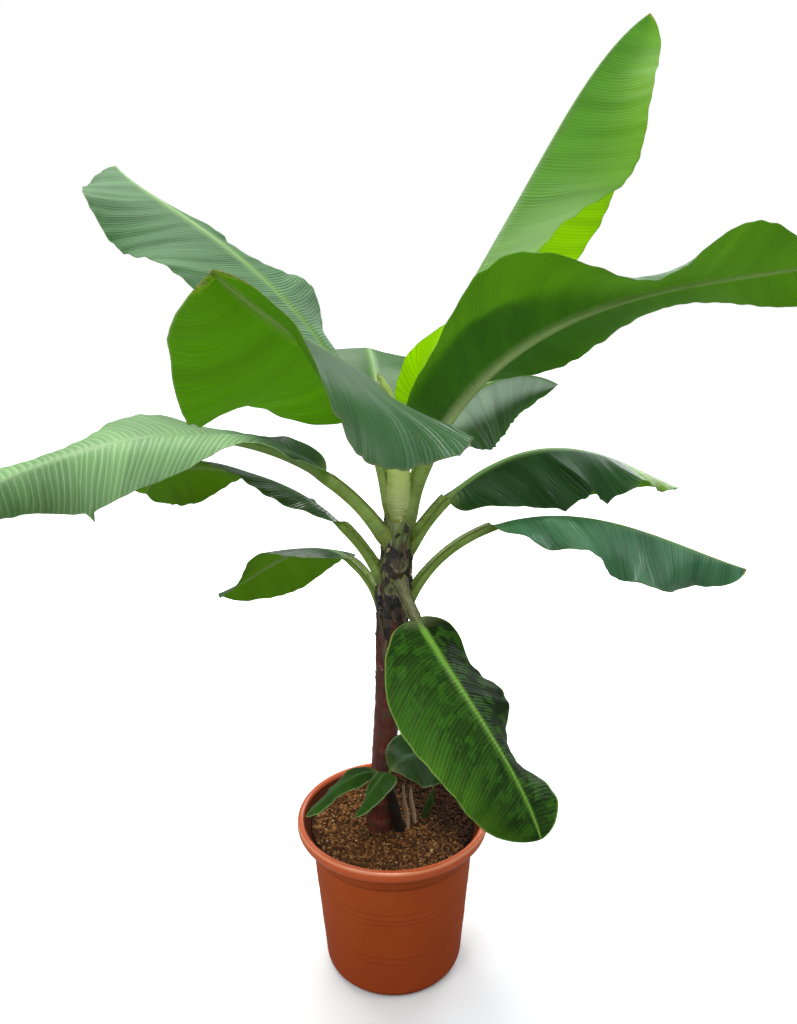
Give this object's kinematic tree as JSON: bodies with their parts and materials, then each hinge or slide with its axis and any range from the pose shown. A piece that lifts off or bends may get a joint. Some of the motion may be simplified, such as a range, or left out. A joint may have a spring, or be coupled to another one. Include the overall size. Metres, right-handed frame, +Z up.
{
  "type": "potted dwarf banana plant",
  "caption": "Young dwarf banana plant in a round plastic pot, with broad arching leaves on a slender leaning stem and small suckers at its foot.",
  "frame": {"origin": "middle of the pot's flat underside, where it stands on the floor", "axes": "+Z up the plant, +Y away from the front, +X to the right seen from the front"},
  "size_m": [1.4437, 1.3577, 1.8337],
  "materials": {
    "terracotta_plastic": "semi-gloss moulded terracotta-orange plastic with a rolled rim",
    "potting_soil": "loose dark brown potting mix with pale grit",
    "leaf_sheath": "overlapping red-brown and green leaf sheaths with dry papery edges",
    "banana_leaf": "thin satin green blade with a raised midrib and fine side veins",
    "young_leaf": "thin satin bright green blade",
    "dried_leaf": "dry matt tan stalk"
  },
  "bodies": {
    "root": {"pot": "terracotta_plastic", "soil": "potting_soil", "trunk": "leaf_sheath", "leaf_1": "banana_leaf", "leaf_2": "banana_leaf", "leaf_3": "banana_leaf", "leaf_4": "banana_leaf", "leaf_5": "banana_leaf", "leaf_6": "banana_leaf", "leaf_7": "banana_leaf", "leaf_8": "banana_leaf", "leaf_9": "banana_leaf", "leaf_10": "banana_leaf", "leaf_11": "banana_leaf", "leaf_12": "banana_leaf", "sucker": "leaf_sheath", "sucker_leaf_1": "young_leaf", "sucker_leaf_2": "young_leaf", "sucker_leaf_3": "young_leaf", "side_shoot": "young_leaf", "dried_stalk_1": "dried_leaf", "dried_stalk_2": "dried_leaf"}
  },
  "joints": []
}
